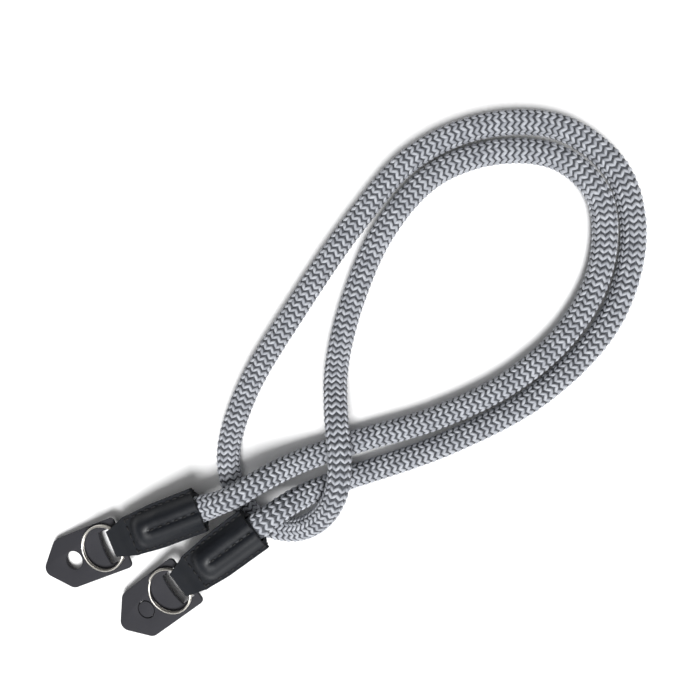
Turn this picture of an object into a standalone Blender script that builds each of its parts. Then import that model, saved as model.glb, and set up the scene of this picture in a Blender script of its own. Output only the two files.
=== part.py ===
# Camera neck strap: one braided rope in a long loop, with a stitched leather end on each end.
# A leather end is a folded strip: a pocket for the rope, then a narrow loop that holds a split
# ring and the strip of a protector tab. Everything lies on the floor, z = 0, in metres.
import math

import bmesh
import bpy
from mathutils import Euler, Vector

MM = 0.001
GAP = 0.3 * MM                     # clearance between pieces that touch

# Rope
ROPE_DIAMETER = 10.0 * MM
ROPE_POINT_SPACING = 13.6 * MM     # length between the plain tube's sections
ROPE_END_WIDTH = 11.4 * MM         # the stitched leather presses the rope's ends a little flat
ROPE_END_HEIGHT = 8.6 * MM
ROPE_RELAX = 12.0 * MM             # length past the mouth in which the rope gets round again

# Leather end, measured along its own x axis from the tab's tip towards the rope
LEATHER = 1.3 * MM
END_LENGTH = 82.7 * MM             # tab's tip to the mouth that the rope comes out of
SEAM_FROM_TAB = 5.9 * MM           # tab's straight edge to the cross seam between loop and pocket
SEAM_LENGTH = 1.2 * MM
FOLD_WIDTH = 11.4 * MM
SEAM_WIDTH = 17.6 * MM
POCKET_WIDTH = 19.2 * MM
POCKET_NOSE = 7.5 * MM             # length in which the leather rises from the seam to the rope
LOOP_SLOPE = 2.8 * MM              # length in which the loop closes down to the seam
ROPE_FROM_SEAM = 8.1 * MM          # seam to the rope's end in its pocket
CREASE_DEPTH = 0.45 * MM           # centre stitching pulls the leather in
CREASE_FROM_SEAM = 11.6 * MM

# Protector tab
TAB_LENGTH = 42.0 * MM
TAB_WIDTH = 23.2 * MM
TAB_THICKNESS = 1.3 * MM
TAB_POINT = 11.5 * MM              # length of the pointed part
TAB_TIP_RADIUS = 4.0 * MM
TAB_SHOULDER_RADIUS = 4.5 * MM
TAB_CORNER_RADIUS = 2.0 * MM
TAB_HOLE_X = 15.8 * MM
TAB_HOLE_DIAMETER = 8.3 * MM
TAB_STRIP = 2.1 * MM               # strip between the slot and the tab's straight edge
SLOT_HALF_WIDTH = 7.4 * MM
SLOT_DEPTH = 8.2 * MM              # crescent, from its straight side to its deepest point
SLOT_END_DEPTH = 7.2 * MM
DISC_CUT_WIDTH = 0.45 * MM         # circular cut round a disc that still closes the hole
DISC_CUT_DEPTH = 0.6 * MM

# Split ring, two turns of round wire
RING_OUTER = 20.6 * MM
RING_WIRE = 0.9 * MM
RING_COIL_GAP = 0.1 * MM
RING_STEP_ANGLE = 52.0             # degrees in which the wire steps from one turn to the other
RING_END_CLEARANCE = 5.0           # degrees between the step and each cut end
RING_POINT_ANGLE = 10.0

# The two ends as they lie. tip_x and tip_y place the tab's tip, yaw turns the end on the floor and
# pitch lifts its rope side, because a strand of the rope passes underneath. tab_slack and
# ring_slack are the tab's and the ring's distances from the place where each pulls on the fold,
# tab_side and ring_side how far each lies off the middle of the loop, and ring_step is the
# direction of the ring's step.
ENDS = (
    {"name": "a", "tip_x": -52.35 * MM, "tip_y": -6.65 * MM, "yaw": 23.1, "pitch": 8.2,
     "tab_slack": 0.4 * MM, "tab_side": -1.2 * MM, "ring_slack": 0.0 * MM, "ring_side": -0.6 * MM,
     "ring_step": 0.0, "open_hole": True},
    {"name": "b", "tip_x": -17.0 * MM, "tip_y": -30.65 * MM, "yaw": 38.0, "pitch": 10.7,
     "tab_slack": 0.4 * MM, "tab_side": -0.6 * MM, "ring_slack": 0.0 * MM, "ring_side": 0.0 * MM,
     "ring_step": 150.0, "open_hole": False},
)

# The rope's route between the two mouths, chosen by hand: x, y and z of its centre line.
# It leaves end a, runs round the inner loop, crosses over both ropes, turns back under both
# mouths and runs round the outer loop to end b.
ROUTE = (
    (0.0365, 0.0311, 0.0159), (0.0482, 0.0378, 0.0139), (0.0627, 0.0448, 0.0084),
    (0.0862, 0.0532, 0.0050), (0.1204, 0.0641, 0.0050), (0.1503, 0.0794, 0.0050),
    (0.1722, 0.0998, 0.0050), (0.1844, 0.1251, 0.0050), (0.1835, 0.1519, 0.0050),
    (0.1686, 0.1675, 0.0050), (0.1442, 0.1709, 0.0050), (0.1181, 0.1620, 0.0050),
    (0.0984, 0.1402, 0.0050), (0.0849, 0.1097, 0.0050), (0.0790, 0.0836, 0.0064),
    (0.0800, 0.0629, 0.0136), (0.0818, 0.0481, 0.0172), (0.0804, 0.0354, 0.0172),
    (0.0736, 0.0234, 0.0130), (0.0612, 0.0162, 0.0069), (0.0467, 0.0186, 0.0050),
    (0.0361, 0.0300, 0.0050), (0.0327, 0.0471, 0.0050), (0.0406, 0.0735, 0.0050),
    (0.0620, 0.1087, 0.0050), (0.0879, 0.1455, 0.0050), (0.1096, 0.1692, 0.0050),
    (0.1382, 0.1813, 0.0050), (0.1682, 0.1798, 0.0050), (0.1898, 0.1626, 0.0050),
    (0.1966, 0.1366, 0.0050), (0.1881, 0.1040, 0.0050), (0.1624, 0.0751, 0.0050),
    (0.1257, 0.0540, 0.0050), (0.0852, 0.0387, 0.0052), (0.0759, 0.0353, 0.0070),
    (0.0668, 0.0320, 0.0104), (0.0578, 0.0273, 0.0153), (0.0514, 0.0228, 0.0175),
)

# Heights of the stack inside a loop, from the underside of the leather upwards
RING_STACK = 2 * RING_WIRE + RING_COIL_GAP
TAB_UNDERSIDE = LEATHER + GAP
RING_MIDDLE = TAB_UNDERSIDE + TAB_THICKNESS + GAP + RING_STACK / 2
LOOP_HEIGHT = TAB_UNDERSIDE + TAB_THICKNESS + GAP + RING_STACK + GAP + LEATHER
MIDDLE = LOOP_HEIGHT / 2           # middle plane of the leather end and of the rope in it
SEAM_X = TAB_LENGTH + SEAM_FROM_TAB
CREASE_START = SEAM_X + CREASE_FROM_SEAM
ROPE_END_X = SEAM_X + ROPE_FROM_SEAM
ROPE_END_COVER = END_LENGTH - ROPE_END_X


def clear_scene():
    for obj in list(bpy.data.objects):
        bpy.data.objects.remove(obj, do_unlink=True)


def new_collection(name):
    collection = bpy.data.collections.new(name)
    bpy.context.scene.collection.children.link(collection)
    return collection


def new_material(name, colour, roughness, metallic=0.0):
    material = bpy.data.materials.new(name)
    material.use_nodes = True
    shader = material.node_tree.nodes["Principled BSDF"]
    shader.inputs["Base Color"].default_value = (*colour, 1.0)
    shader.inputs["Roughness"].default_value = roughness
    shader.inputs["Metallic"].default_value = metallic
    return material


def add_object(name, data, collection, material=None):
    obj = bpy.data.objects.new(name, data)
    collection.objects.link(obj)
    if material:
        data.materials.append(material)
    return obj


def tube_curve(name, points, radius, resolution, collection):
    # a round wire or rope through the points, with filled ends
    curve = bpy.data.curves.new(name, "CURVE")
    curve.dimensions = "3D"
    curve.bevel_depth = radius
    curve.bevel_resolution = resolution
    curve.use_fill_caps = True
    spline = curve.splines.new("POLY")
    spline.points.add(len(points) - 1)
    for point, place in zip(spline.points, points):
        point.co = (*place, 1.0)
    return add_object(name, curve, collection)


def flat_curve(name, outlines, thickness, collection):
    # a flat piece with holes: the first outline is its edge, the others are cut through it
    curve = bpy.data.curves.new(name, "CURVE")
    curve.dimensions = "2D"
    curve.fill_mode = "BOTH"
    curve.extrude = thickness / 2
    for outline in outlines:
        spline = curve.splines.new("POLY")
        spline.points.add(len(outline) - 1)
        for point, (x, y) in zip(spline.points, outline):
            point.co = (x, y, 0.0, 1.0)
        spline.use_cyclic_u = True
    return add_object(name, curve, collection)


def as_mesh(curve_object, collection, material=None):
    # turn a curve object into a mesh with welded caps, in the same place
    name = curve_object.name
    depsgraph = bpy.context.evaluated_depsgraph_get()
    mesh = bpy.data.meshes.new_from_object(curve_object.evaluated_get(depsgraph))
    matrix = curve_object.matrix_world.copy()
    bpy.data.objects.remove(curve_object, do_unlink=True)
    work = bmesh.new()
    work.from_mesh(mesh)
    bmesh.ops.remove_doubles(work, verts=work.verts, dist=0.005 * MM)
    bmesh.ops.recalc_face_normals(work, faces=work.faces)
    work.to_mesh(mesh)
    work.free()
    mesh.name = name
    obj = add_object(name, mesh, collection, material)
    obj.matrix_world = matrix
    return obj


def loft(name, rings, collection, material=None):
    # a closed body through rings of equal point counts, with both ends filled
    work = bmesh.new()
    rows = [[work.verts.new(place) for place in ring] for ring in rings]
    for row, following in zip(rows, rows[1:]):
        count = len(row)
        for i in range(count):
            j = (i + 1) % count
            work.faces.new((row[i], row[j], following[j], following[i]))
    work.faces.new(rows[0])
    work.faces.new(rows[-1])
    bmesh.ops.recalc_face_normals(work, faces=work.faces)
    mesh = bpy.data.meshes.new(name)
    work.to_mesh(mesh)
    work.free()
    return add_object(name, mesh, collection, material)


def cut(target, cutter):
    cutter.hide_render = True
    cutter.display_type = "WIRE"
    modifier = target.modifiers.new("cut by " + cutter.name, "BOOLEAN")
    modifier.operation = "DIFFERENCE"
    modifier.object = cutter


def arc(centre, radius, start, end, steps):
    angles = [math.radians(start + (end - start) * i / steps) for i in range(steps + 1)]
    return [(centre[0] + radius * math.cos(a), centre[1] + radius * math.sin(a)) for a in angles]


def rounded_outline(corners, steps=5):
    # corners are (x, y, radius) in order round the shape; each is replaced by an arc
    outline = []
    for i, (x, y, radius) in enumerate(corners):
        here = Vector((x, y))
        before = (Vector(corners[i - 1][:2]) - here).normalized()
        after = (Vector(corners[(i + 1) % len(corners)][:2]) - here).normalized()
        half = before.angle(after) / 2
        centre = here + (before + after).normalized() * radius / math.sin(half)
        first = here + before * radius / math.tan(half) - centre
        last = here + after * radius / math.tan(half) - centre
        turn = first.angle_signed(last)
        for k in range(steps + 1):
            part = first.copy()
            part.rotate(Euler((0, 0, -turn * k / steps)).to_matrix().to_2x2())
            outline.append(tuple(centre + part))
    return outline


def smooth_step(t):
    t = min(max(t, 0.0), 1.0)
    return t * t * (3 - 2 * t)


def end_matrix(end):
    # from the end's own frame to the floor; the tab's underside touches the floor at its tip
    pitch = math.radians(end["pitch"])
    turn = Euler((0.0, -pitch, math.radians(end["yaw"]))).to_matrix().to_4x4()
    turn.translation = (end["tip_x"], end["tip_y"], -TAB_UNDERSIDE * math.cos(pitch))
    return turn


def smooth_curve(knots, samples=16):
    # centripetal Catmull-Rom curve through the knots
    points = [2 * knots[0] - knots[1], *knots, 2 * knots[-1] - knots[-2]]
    curve = []
    for p0, p1, p2, p3 in zip(points, points[1:], points[2:], points[3:]):
        t1 = math.sqrt((p1 - p0).length)
        t2 = t1 + math.sqrt((p2 - p1).length)
        t3 = t2 + math.sqrt((p3 - p2).length)
        for k in range(samples):
            t = t1 + (t2 - t1) * k / samples
            a1 = p0.lerp(p1, t / t1)
            a2 = p1.lerp(p2, (t - t1) / (t2 - t1))
            a3 = p2.lerp(p3, (t - t2) / (t3 - t2))
            b1 = a1.lerp(a2, t / t2)
            b2 = a2.lerp(a3, (t - t1) / (t3 - t1))
            curve.append(b1.lerp(b2, (t - t1) / (t2 - t1)))
    curve.append(knots[-1])
    return curve


def evenly_spaced(curve, spacing):
    reach = [0.0]
    for a, b in zip(curve, curve[1:]):
        reach.append(reach[-1] + (b - a).length)
    count = round(reach[-1] / spacing) + 1
    points = []
    segment = 0
    for k in range(count):
        wanted = reach[-1] * k / (count - 1)
        while segment < len(curve) - 2 and reach[segment + 1] < wanted:
            segment += 1
        share = (wanted - reach[segment]) / (reach[segment + 1] - reach[segment])
        points.append(curve[segment].lerp(curve[segment + 1], min(share, 1.0)))
    return points


def rope_knots():
    # straight inside each leather end, the chosen route in between
    start, end = (end_matrix(which) for which in ENDS)
    pocket = [Vector((ROPE_END_X + ROPE_END_COVER * share, 0.0, MIDDLE)) for share in (0, 0.5, 1)]
    first = [start @ place for place in pocket]
    last = [end @ place for place in reversed(pocket)]
    return first + [Vector(place) for place in ROUTE] + last


def press_rope_end(mesh, end):
    # the section goes from round to wide and low where it runs into the leather
    frame = end_matrix(end)
    back = frame.inverted()
    widen = ROPE_END_WIDTH / ROPE_DIAMETER - 1
    lower = 1 - ROPE_END_HEIGHT / ROPE_DIAMETER
    for vertex in mesh.vertices:
        place = back @ vertex.co
        if place.x > END_LENGTH + ROPE_RELAX or place.x < 0:
            continue
        if abs(place.y) > ROPE_DIAMETER or abs(place.z - MIDDLE) > ROPE_DIAMETER:
            continue
        amount = smooth_step((END_LENGTH + ROPE_RELAX - place.x) / ROPE_RELAX)
        place.y *= 1 + widen * amount
        place.z = MIDDLE + (place.z - MIDDLE) * (1 - lower * amount)
        vertex.co = frame @ place


def make_rope(collection, material):
    route = smooth_curve(rope_knots())
    for place in route:
        place.z = max(place.z, ROPE_DIAMETER / 2)
    points = evenly_spaced(route, ROPE_POINT_SPACING)
    tube = tube_curve("neck_rope", points, ROPE_DIAMETER / 2, 3, collection)
    rope = as_mesh(tube, collection, material)
    for end in ENDS:
        press_rope_end(rope.data, end)
    rope.data.shade_smooth()
    return rope


# Sections of the loop: share of the way from its fold to where it slopes down, share of its height
LOOP_SECTIONS = ((0.0, 0.52), (0.07, 0.87), (0.24, 1.0), (1.0, 1.0))
# Sections of the pocket's rounded nose: share of its length, share of its rise
NOSE_SECTIONS = ((0.15, 0.30), (0.40, 0.66), (0.70, 0.90), (1.0, 1.0))
# Points across half a section: share of the half width of the rope's bulge
BULGE_COLUMNS = (1.0, 0.87, 0.62, 0.32)
BULGE_SHARE = 0.88                 # widest bulge, as a share of the leather's half width


def fold_x(end):
    # the loop's fold, round the tab's strip
    return TAB_LENGTH - TAB_STRIP - GAP - LEATHER - end["tab_slack"]


def leather_half_width(x, end):
    if x < SEAM_X:
        share = (x - fold_x(end)) / (SEAM_X - fold_x(end))
        return (FOLD_WIDTH + (SEAM_WIDTH - FOLD_WIDTH) * share) / 2
    share = smooth_step((x - SEAM_X) / (2 * POCKET_NOSE))
    return (SEAM_WIDTH + (POCKET_WIDTH - SEAM_WIDTH) * share) / 2


def leather_section(x, end, edge, crown, roundness):
    # closed ring of points: a flat flange of half thickness edge and a bulge of half height crown
    half_width = leather_half_width(x, end)
    bulge = min(ROPE_END_WIDTH / 2 + GAP + LEATHER, half_width * BULGE_SHARE)
    crease = CREASE_DEPTH * smooth_step((x - CREASE_START) / LEATHER) * roundness
    top = [(half_width, edge)]
    for share in BULGE_COLUMNS:
        rise = 1 - roundness + roundness * math.sqrt(1 - share * share)
        top.append((bulge * share, edge + (crown - edge) * rise))
    middle = [(0.0, crown - crease)]
    mirrored = [(-y, z) for y, z in reversed(top)]
    upper = top + middle + mirrored
    lower = [(y, -z) for y, z in reversed(upper)]
    return [(x, y, MIDDLE + z) for y, z in upper + lower]


def leather_body(end, collection, material):
    rings = []
    slope_start = SEAM_X - LOOP_SLOPE
    for along, height in LOOP_SECTIONS:
        x = fold_x(end) + (slope_start - fold_x(end)) * along
        half = LOOP_HEIGHT / 2 * height
        rings.append(leather_section(x, end, half, half, 0.0))
    for x in (SEAM_X, SEAM_X + SEAM_LENGTH):
        rings.append(leather_section(x, end, LEATHER, LEATHER, 0.0))
    crown = ROPE_END_HEIGHT / 2 + GAP + LEATHER
    for along, rise in NOSE_SECTIONS:
        x = SEAM_X + SEAM_LENGTH + POCKET_NOSE * along
        rings.append(leather_section(x, end, LEATHER, LEATHER + (crown - LEATHER) * rise, 1.0))
    for x in (CREASE_START, CREASE_START + LEATHER, END_LENGTH):
        rings.append(leather_section(x, end, LEATHER, crown, 1.0))
    return loft("leather_end_" + end["name"], rings, collection, material)


def tunnel_cutter(end, collection):
    # the space inside the loop, right through it from side to side
    left = fold_x(end) + LEATHER
    right = SEAM_X - LEATHER / 2
    slope_start = SEAM_X - LOOP_SLOPE
    corner = LEATHER / 3
    half = LOOP_HEIGHT / 2 - LEATHER
    pinch = LEATHER / 8
    upper = [(left, half - corner), (left + corner, half), (slope_start, half), (right, pinch)]
    profile = upper + [(x, -z) for x, z in reversed(upper)]
    rings = [[(x, side, MIDDLE + z) for x, z in profile] for side in (-SEAM_WIDTH, SEAM_WIDTH)]
    return loft("tunnel_cutter_" + end["name"], rings, collection)


def pocket_cutter(end, collection):
    # the space for the rope's end, open at the mouth
    half_width = ROPE_END_WIDTH / 2 + GAP
    half_height = ROPE_END_HEIGHT / 2 + GAP
    floor = ROPE_END_X - GAP
    rings = []
    for x in (floor, END_LENGTH + LEATHER):
        ring = arc((0.0, 0.0), 1.0, 0, 360, 20)[:-1]
        rings.append([(x, half_width * y, MIDDLE + half_height * z) for y, z in ring])
    return loft("pocket_cutter_" + end["name"], rings, collection)


def make_leather_end(end, parent, collection, cutters, material):
    body = leather_body(end, collection, material)
    for cutter in (tunnel_cutter(end, cutters), pocket_cutter(end, cutters)):
        cutter.parent = parent
        cut(body, cutter)
    body.parent = parent
    return body


def slot_outline():
    # straight side next to the strip, bowed side towards the tab's tip
    straight = TAB_LENGTH - TAB_STRIP
    bow = SLOT_DEPTH - SLOT_END_DEPTH
    radius = (SLOT_HALF_WIDTH ** 2 + bow ** 2) / (2 * bow)
    reach = math.degrees(math.asin(SLOT_HALF_WIDTH / radius))
    centre = (straight - SLOT_DEPTH + radius, 0.0)
    return [(straight, SLOT_HALF_WIDTH)] + arc(centre, radius, 180 - reach, 180 + reach, 10) + [
        (straight, -SLOT_HALF_WIDTH)]


def make_tab(end, parent, collection, cutters, material):
    half = TAB_WIDTH / 2
    corners = (
        (0.0, 0.0, TAB_TIP_RADIUS),
        (TAB_POINT, -half, TAB_SHOULDER_RADIUS),
        (TAB_LENGTH, -half, TAB_CORNER_RADIUS),
        (TAB_LENGTH, half, TAB_CORNER_RADIUS),
        (TAB_POINT, half, TAB_SHOULDER_RADIUS),
    )
    outline = rounded_outline(corners)
    blunt = min(x for x, y in outline)
    outline = [(x - blunt * (1 - x / TAB_LENGTH), y) for x, y in outline]
    outlines = [outline, slot_outline()]
    hole_centre = (TAB_HOLE_X, 0.0)
    radius = TAB_HOLE_DIAMETER / 2
    if end["open_hole"]:
        outlines.append(arc(hole_centre, radius, 0, 360, 32)[:-1])
    flat = flat_curve("protector_tab_" + end["name"], outlines, TAB_THICKNESS, collection)
    tab = as_mesh(flat, collection, material)
    tab.location = (0.0, end["tab_side"], TAB_UNDERSIDE + TAB_THICKNESS / 2)
    tab.parent = parent
    if not end["open_hole"]:
        inside = arc(hole_centre, radius - DISC_CUT_WIDTH, 0, 360, 32)[:-1]
        outside = arc(hole_centre, radius, 0, 360, 32)[:-1]
        groove = flat_curve("disc_cutter", [outside, inside], 2 * DISC_CUT_DEPTH, cutters)
        groove = as_mesh(groove, cutters)
        groove.location = (0.0, end["tab_side"], TAB_UNDERSIDE + TAB_THICKNESS)
        groove.parent = parent
        cut(tab, groove)
    return tab


def ring_centre_x(end):
    # near the fold, as far as the wire's inner edge allows where it enters the loop
    inner = RING_OUTER / 2 - RING_WIRE
    fold_inside = fold_x(end) + LEATHER + GAP
    half_chord = FOLD_WIDTH / 2 + LEATHER / 3 + abs(end["ring_side"])
    near = fold_inside - math.sqrt(inner ** 2 - half_chord ** 2)
    return near + end["ring_slack"]


def split_ring_path(end):
    radius = (RING_OUTER - RING_WIRE) / 2
    rise = RING_WIRE + RING_COIL_GAP
    first = RING_STEP_ANGLE / 2 + RING_END_CLEARANCE
    last = 720.0 - first
    count = round((last - first) / RING_POINT_ANGLE)
    path = []
    for k in range(count + 1):
        turned = first + (last - first) * k / count
        step = smooth_step((turned - 360.0) / RING_STEP_ANGLE + 0.5)
        angle = math.radians(turned + end["ring_step"])
        path.append((ring_centre_x(end) + radius * math.cos(angle),
                     end["ring_side"] + radius * math.sin(angle),
                     RING_MIDDLE + rise * (step - 0.5)))
    return path


def make_split_ring(end, parent, collection, material):
    wire = tube_curve("split_ring_" + end["name"], split_ring_path(end), RING_WIRE / 2, 2,
                      collection)
    ring = as_mesh(wire, collection, material)
    ring.data.shade_smooth()
    ring.parent = parent
    return ring


def main():
    clear_scene()
    strap = new_collection("camera_neck_strap")
    cutters = new_collection("cutters")
    braid = new_material("grey polyester braid", (0.30, 0.31, 0.33), 0.75)
    leather = new_material("black leather", (0.016, 0.018, 0.021), 0.45)
    tab_leather = new_material("dark grey leather", (0.050, 0.050, 0.058), 0.70)
    nickel = new_material("nickel plated wire", (0.66, 0.62, 0.55), 0.22, 1.0)
    make_rope(strap, braid)
    for end in ENDS:
        parent = add_object("end_" + end["name"], None, strap)
        parent.matrix_world = end_matrix(end)
        make_leather_end(end, parent, strap, cutters, leather)
        make_tab(end, parent, strap, cutters, tab_leather)
        make_split_ring(end, parent, strap, nickel)
    bpy.context.view_layer.update()


main()
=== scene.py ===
import math
import bmesh
import bpy
from mathutils import Euler, Matrix, Vector, noise


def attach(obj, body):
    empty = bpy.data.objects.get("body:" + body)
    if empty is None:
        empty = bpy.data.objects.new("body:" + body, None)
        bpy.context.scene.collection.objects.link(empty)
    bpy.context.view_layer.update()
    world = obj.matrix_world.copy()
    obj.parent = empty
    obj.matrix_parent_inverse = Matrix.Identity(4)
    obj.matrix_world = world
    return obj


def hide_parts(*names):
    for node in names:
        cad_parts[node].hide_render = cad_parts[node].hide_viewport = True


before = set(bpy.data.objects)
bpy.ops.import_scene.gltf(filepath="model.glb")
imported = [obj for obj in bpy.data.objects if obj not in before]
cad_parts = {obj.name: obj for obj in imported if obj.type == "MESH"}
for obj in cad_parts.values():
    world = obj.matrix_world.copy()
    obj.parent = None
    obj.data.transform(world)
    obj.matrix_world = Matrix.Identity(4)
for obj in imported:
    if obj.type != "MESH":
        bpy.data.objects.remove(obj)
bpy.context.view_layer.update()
mm = 0.001


def hexColour(code):
    # sRGB hex to the linear values that shaders want
    channels = [int(code[i:i + 2], 16) / 255 for i in (0, 2, 4)]
    return tuple(c / 12.92 if c < 0.04045 else ((c + 0.055) / 1.055) ** 2.4 for c in channels) + (1.0,)


def addNode(tree, kind, values=None, links=None, **settings):
    node = tree.nodes.new(kind)
    for key, value in settings.items():
        setattr(node, key, value)
    for key, value in (values or {}).items():
        node.inputs[key].default_value = value
    for key, source in (links or {}).items():
        tree.links.new(source, node.inputs[key])
    return node


def newMaterial(name, colour, roughness, **more):
    material = bpy.data.materials.new(name)
    material.use_nodes = True
    shader = material.node_tree.nodes["Principled BSDF"]
    shader.inputs["Base Color"].default_value = hexColour(colour)
    shader.inputs["Roughness"].default_value = roughness
    for key, value in more.items():
        shader.inputs[key].default_value = value
    return material, material.node_tree, shader


def addPiece(name, mesh, materials=()):
    piece = bpy.data.objects.new(name, mesh)
    bpy.context.scene.collection.objects.link(piece)
    for material in materials:
        mesh.materials.append(material)
    return piece


def bakedMesh(piece, name):
    # evaluated copy of an object's shape, with its modifiers and nodes applied
    depsgraph = bpy.context.evaluated_depsgraph_get()
    mesh = bpy.data.meshes.new_from_object(piece.evaluated_get(depsgraph))
    mesh.name = name
    return mesh


def setModifierInputs(piece, tree, values):
    modifier = piece.modifiers.new(tree.name, "NODES")
    modifier.node_group = tree
    sockets = {item.name: item.identifier for item in tree.interface.items_tree if item.in_out == "INPUT"}
    for name, value in values.items():
        modifier[sockets[name]] = value
    return modifier


def linesObject(name, lines):
    # straight-sided curves through the places; Z_UP keeps their normals level
    data = bpy.data.curves.new(name, "CURVE")
    data.dimensions = "3D"
    data.twist_mode = "Z_UP"
    for places in lines:
        spline = data.splines.new("POLY")
        spline.points.add(len(places) - 1)
        for point, place in zip(spline.points, places):
            point.co = (*place, 1.0)
    line = bpy.data.objects.new(name, data)
    bpy.context.scene.collection.objects.link(line)
    return line


def smoothStep(t):
    t = min(max(t, 0.0), 1.0)
    return t * t * (3 - 2 * t)


def loftMesh(name, rings):
    # closed body through rings with the same number of points
    work = bmesh.new()
    rows = [[work.verts.new(place) for place in ring] for ring in rings]
    for row, following in zip(rows, rows[1:]):
        for i in range(len(row)):
            j = (i + 1) % len(row)
            work.faces.new((row[i], row[j], following[j], following[i]))
    work.faces.new(rows[0])
    work.faces.new(rows[-1])
    bmesh.ops.recalc_face_normals(work, faces=work.faces)
    mesh = bpy.data.meshes.new(name)
    work.to_mesh(mesh)
    work.free()
    return mesh


def smoothCurve(knots, samples=24):
    # centripetal Catmull-Rom curve through the knots
    points = [2 * knots[0] - knots[1], *knots, 2 * knots[-1] - knots[-2]]
    curve = []
    for p0, p1, p2, p3 in zip(points, points[1:], points[2:], points[3:]):
        t1 = math.sqrt((p1 - p0).length)
        t2 = t1 + math.sqrt((p2 - p1).length)
        t3 = t2 + math.sqrt((p3 - p2).length)
        for k in range(samples):
            t = t1 + (t2 - t1) * k / samples
            a1 = p0.lerp(p1, t / t1)
            a2 = p1.lerp(p2, (t - t1) / (t2 - t1))
            a3 = p2.lerp(p3, (t - t2) / (t3 - t2))
            curve.append(a1.lerp(a2, t / t2).lerp(a2.lerp(a3, (t - t1) / (t3 - t1)), (t - t1) / (t2 - t1)))
    curve.append(knots[-1])
    return curve


def evenlySpaced(curve, count):
    # places at equal distances along a curve, and the curve's length
    reach = [0.0]
    for a, b in zip(curve, curve[1:]):
        reach.append(reach[-1] + (b - a).length)
    points, segment = [], 0
    for k in range(count):
        wanted = reach[-1] * k / (count - 1)
        while segment < len(curve) - 2 and reach[segment + 1] < wanted:
            segment += 1
        share = (wanted - reach[segment]) / (reach[segment + 1] - reach[segment])
        points.append(curve[segment].lerp(curve[segment + 1], min(share, 1.0)))
    return points, reach[-1]


# the camera stands where the photograph was taken: it looks down, 7 degrees off the vertical
view = {"place": (0.11885, 0.10409, 0.30276), "right": (0.993417, 0.0, -0.114557),
        "up": (-0.004806, 0.999119, -0.041679), "back": (0.114456, 0.041956, 0.992542), "lens": 37.34}
lensData = bpy.data.cameras.new("photoCamera")
lensData.lens = view["lens"]
lensData.sensor_width = 36.0
lensData.clip_start = 0.01
camera = bpy.data.objects.new("photoCamera", lensData)
turn = Matrix((view["right"], view["up"], view["back"])).transposed()
camera.matrix_world = Matrix.Translation(view["place"]) @ turn.to_4x4()
bpy.context.scene.collection.objects.link(camera)
bpy.context.scene.camera = camera

# the two leather ends as they lie, and the rope between them:
# tip is the tab's tip on the floor, yaw and pitch in degrees, reach the length to the loop's fold
ends = {
    "a": {"tip": (-0.05235, -0.00665), "yaw": 23.1, "pitch": 8.2, "reach": 37.9 * mm, "tabSide": -1.2 * mm,
          "ringSlack": 0.0, "ringSide": -0.6 * mm, "ringStep": 0.0, "openHole": True},
    "b": {"tip": (-0.017, -0.03065), "yaw": 38.0, "pitch": 10.7, "reach": 37.9 * mm, "tabSide": -0.6 * mm,
          "ringSlack": 0.0, "ringSide": 0.0, "ringStep": 150.0, "openHole": False},
}
# heights of the layers inside a leather end, from its underside up, and its lengths from the tip
stack = {"leather": 1.3 * mm, "tabUnder": 1.6 * mm, "tab": 1.3 * mm, "ringMiddle": 4.15 * mm,
         "height": 6.7 * mm, "middle": 3.35 * mm, "length": 82.7 * mm, "ropeEnd": 56.0 * mm}


def endMatrix(lay):
    turned = Euler((0.0, -math.radians(lay["pitch"]), math.radians(lay["yaw"]))).to_matrix().to_4x4()
    turned.translation = (*lay["tip"], -stack["tabUnder"] * math.cos(math.radians(lay["pitch"])))
    return turned


for lay in ends.values():
    lay["matrix"] = endMatrix(lay)

# the rope's outside, its flattened ends, and the core under the yarns
rope = {"diameter": 10 * mm, "pressedWidth": 11.4 * mm, "pressedHeight": 8.6 * mm, "relax": 12 * mm,
        "coreDiameter": 8.9 * mm, "corePoints": 500}
# the rope's middle line from end a round the inner loop, across both strands, back under both
# mouths and round the outer loop to end b, in metres
route = (
    (0.0365, 0.0311, 0.0159), (0.0482, 0.0378, 0.0139), (0.0627, 0.0448, 0.0084),
    (0.0862, 0.0532, 0.0050), (0.1204, 0.0641, 0.0050), (0.1503, 0.0794, 0.0050),
    (0.1722, 0.0998, 0.0050), (0.1844, 0.1251, 0.0050), (0.1835, 0.1519, 0.0050),
    (0.1686, 0.1675, 0.0050), (0.1442, 0.1709, 0.0050), (0.1181, 0.1620, 0.0050),
    (0.0984, 0.1402, 0.0050), (0.0849, 0.1097, 0.0050), (0.0790, 0.0836, 0.0064),
    (0.0800, 0.0629, 0.0136), (0.0818, 0.0481, 0.0172), (0.0804, 0.0354, 0.0172),
    (0.0736, 0.0234, 0.0130), (0.0612, 0.0162, 0.0069), (0.0467, 0.0186, 0.0050),
    (0.0361, 0.0300, 0.0050), (0.0327, 0.0471, 0.0050), (0.0406, 0.0735, 0.0050),
    (0.0620, 0.1087, 0.0050), (0.0879, 0.1455, 0.0050), (0.1096, 0.1692, 0.0050),
    (0.1382, 0.1813, 0.0050), (0.1682, 0.1798, 0.0050), (0.1898, 0.1626, 0.0050),
    (0.1966, 0.1366, 0.0050), (0.1881, 0.1040, 0.0050), (0.1624, 0.0751, 0.0050),
    (0.1257, 0.0540, 0.0050), (0.0852, 0.0387, 0.0052), (0.0759, 0.0353, 0.0070),
    (0.0668, 0.0320, 0.0104), (0.0578, 0.0273, 0.0153), (0.0514, 0.0228, 0.0175),
)


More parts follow.
